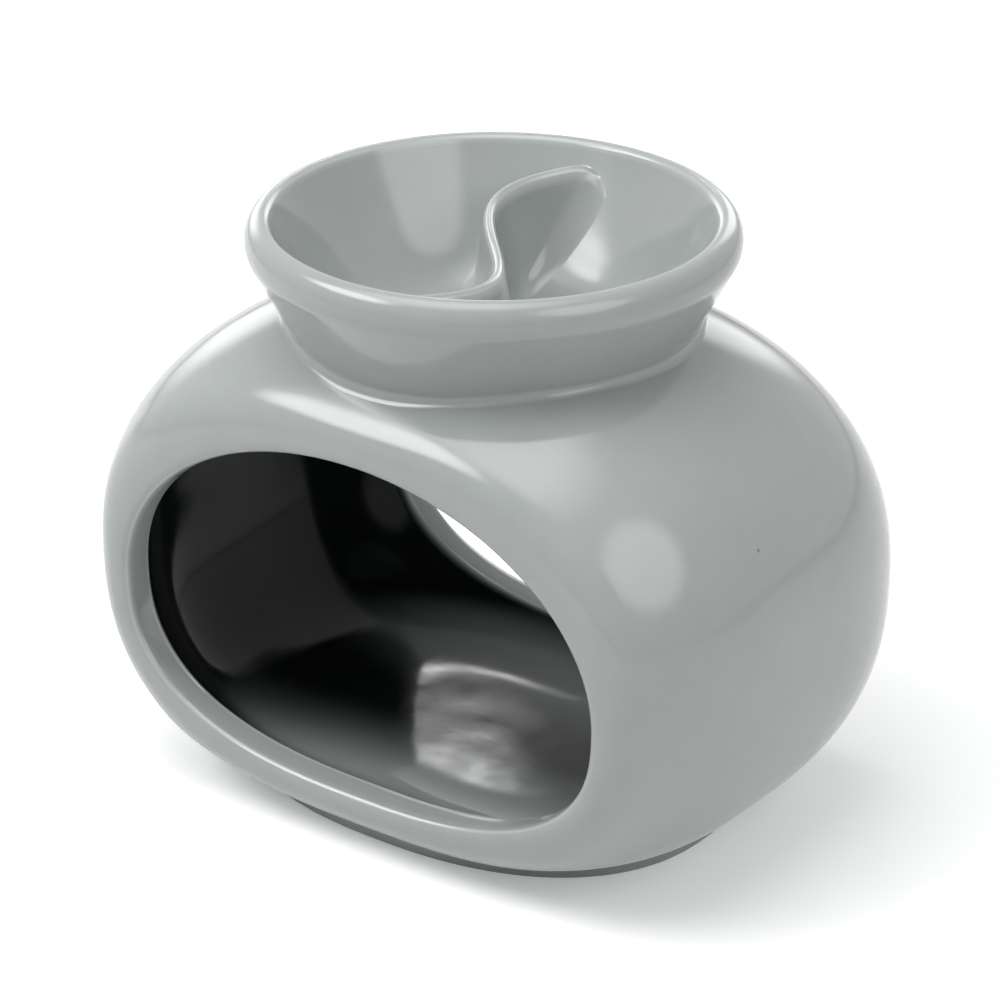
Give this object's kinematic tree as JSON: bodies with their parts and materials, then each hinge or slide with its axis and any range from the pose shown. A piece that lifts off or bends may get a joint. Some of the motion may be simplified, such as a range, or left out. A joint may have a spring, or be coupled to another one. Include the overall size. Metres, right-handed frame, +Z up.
{
  "type": "oil burner",
  "caption": "Glazed ceramic oil and wax burner: pebble-shaped tealight chamber open front and back, with a flared dish on top parted in two by an S-shaped wall.",
  "frame": {"origin": "centre of the foot's underside, on the surface that the burner stands on", "axes": "+X along the chamber's long side, +Z up out of the dish, -Y out of the front opening"},
  "size_m": [0.133, 0.084, 0.105],
  "materials": {
    "chamber_glaze": "glossy pale grey glaze",
    "dish_glaze": "glossy pale grey glaze",
    "divider_glaze": "glossy pale grey glaze, thin and lighter on its crest",
    "slip_glaze": "glossy pale grey glaze over slip"
  },
  "bodies": {
    "root": {"chamber_body": "chamber_glaze", "dish_bowl": "dish_glaze", "dish_divider": "divider_glaze", "neck_luting": "slip_glaze"}
  },
  "joints": []
}
